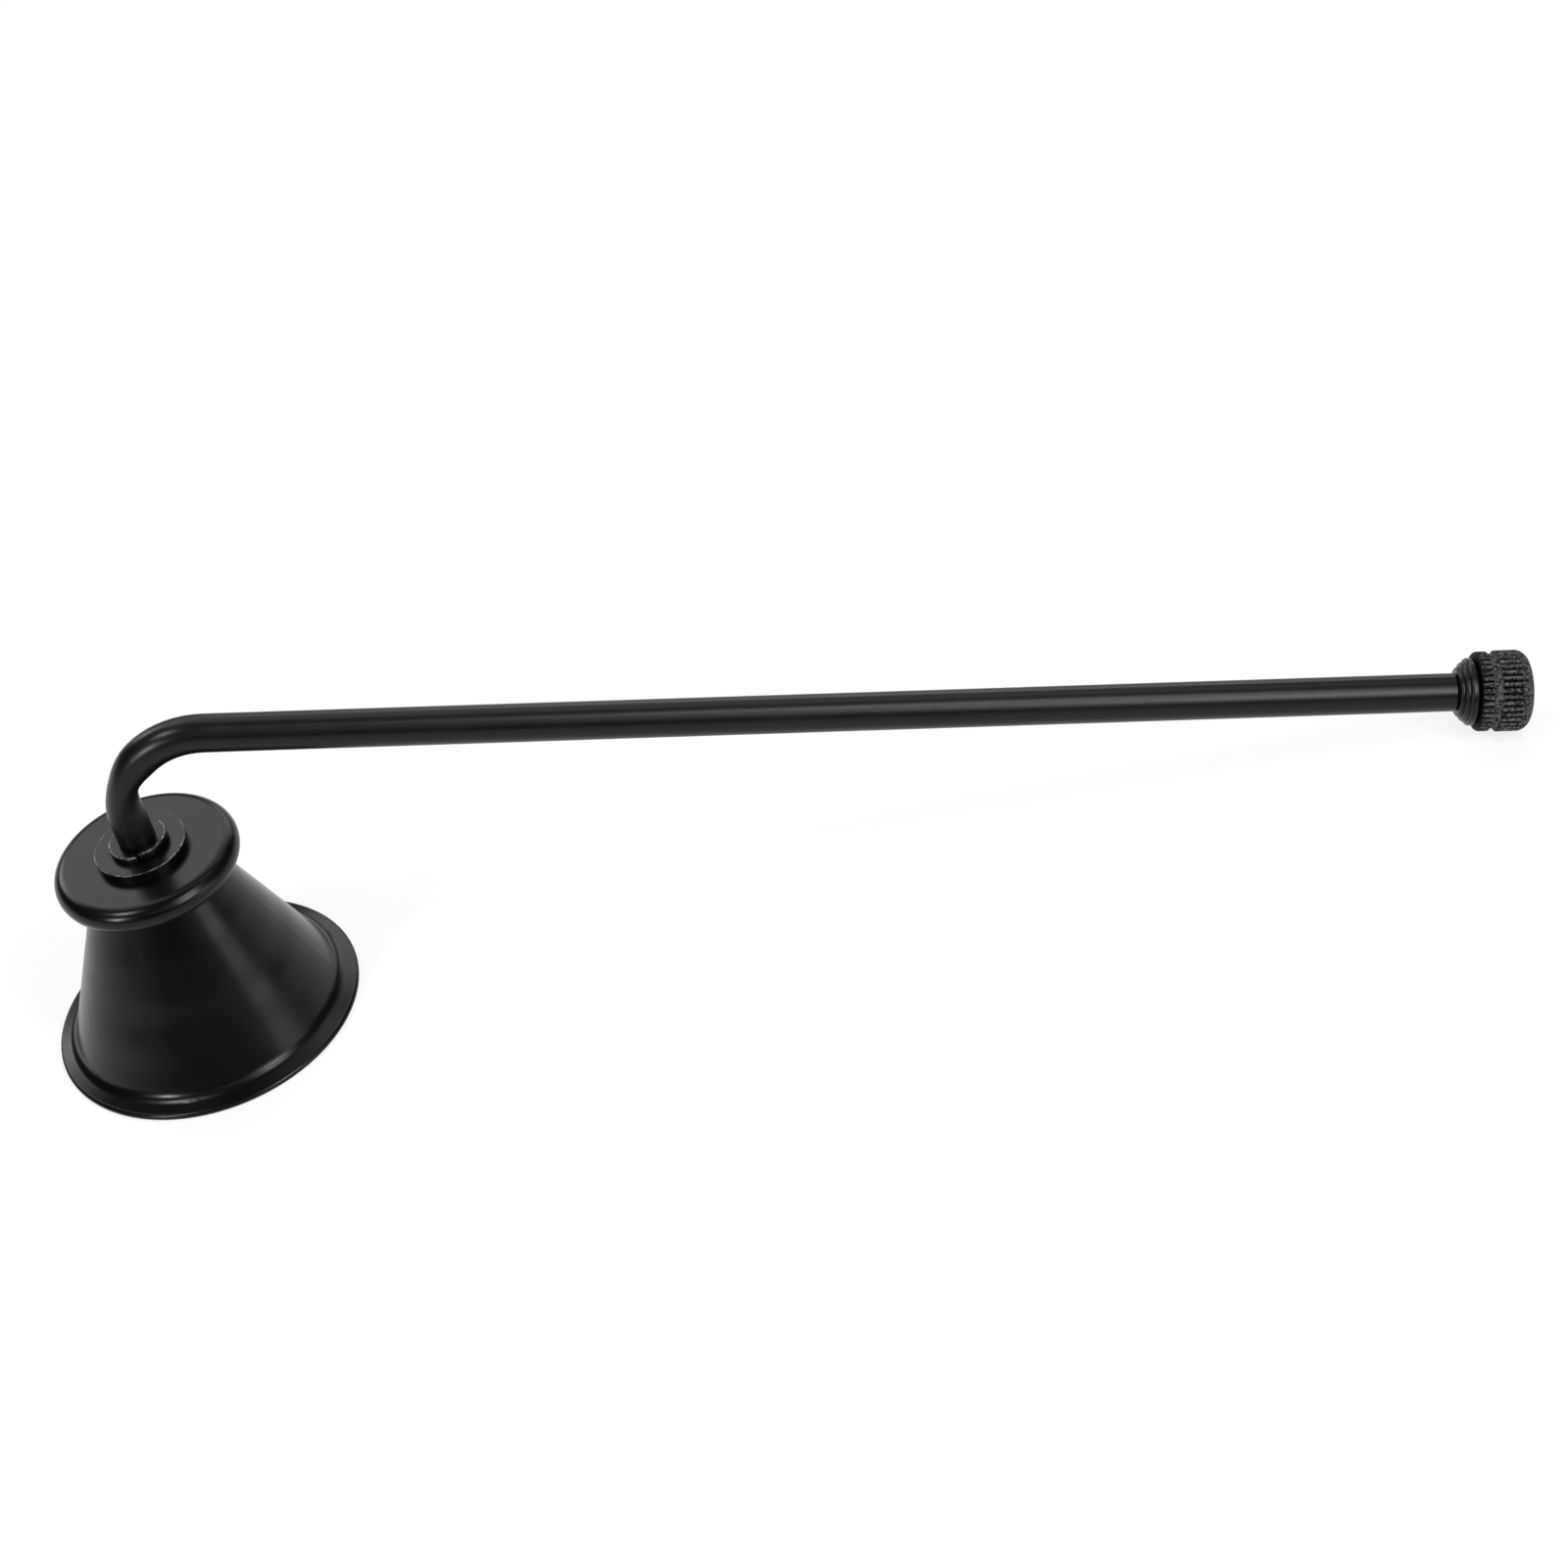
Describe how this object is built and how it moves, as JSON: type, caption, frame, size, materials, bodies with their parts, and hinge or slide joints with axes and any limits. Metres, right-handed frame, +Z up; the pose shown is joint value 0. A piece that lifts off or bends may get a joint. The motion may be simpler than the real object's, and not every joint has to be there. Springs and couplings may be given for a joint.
{
  "type": "candle snuffer",
  "caption": "Candle snuffer: a thin flared bell that swivels on the bent end of a round tube handle, held by washers and a nut, with a knurled screw-on knob at the far end.",
  "frame": {"origin": "centre of the bell's rim plane, on the bell's axis", "axes": "+Z up along the bell's axis, +X along the handle towards the knob"},
  "size_m": [0.2015, 0.0416, 0.0483],
  "materials": {
    "satin_black": "smooth satin black coat",
    "washer_black": "smooth half-gloss black coat",
    "knob_black": "rough sandy black coat over ridges",
    "dark_steel": "blackened steel"
  },
  "bodies": {
    "handle": {"handle_tube": "satin_black", "bell_stud": "dark_steel", "knob_stud": "dark_steel", "lock_washer": "washer_black", "flat_washer": "washer_black", "inner_washer": "dark_steel", "bell_nut": "dark_steel"},
    "bell": {"bell": "satin_black"},
    "ferrule": {"ferrule": "satin_black"},
    "knob": {"end_knob": "knob_black"}
  },
  "joints": [
    {"name": "bell_swivel", "type": "hinge", "parent": "handle", "child": "bell", "pos_m": [0, 0, 0], "axis": [0, 0, 1], "continuous": true},
    {"name": "ferrule_slide", "type": "slide", "parent": "handle", "child": "ferrule", "axis": [0.9713, 0, -0.2378], "range_m": [0, 0.0042]},
    {"name": "knob_turn", "type": "hinge", "parent": "ferrule", "child": "knob", "pos_m": [0.17283, 0, 0.00647], "axis": [0.9713, 0, -0.2378], "range_deg": [0, 2160]}
  ],
  "couplings": [
    {"joint": "knob_turn", "follows": "ferrule_slide", "rad_per_m": 8976}
  ]
}
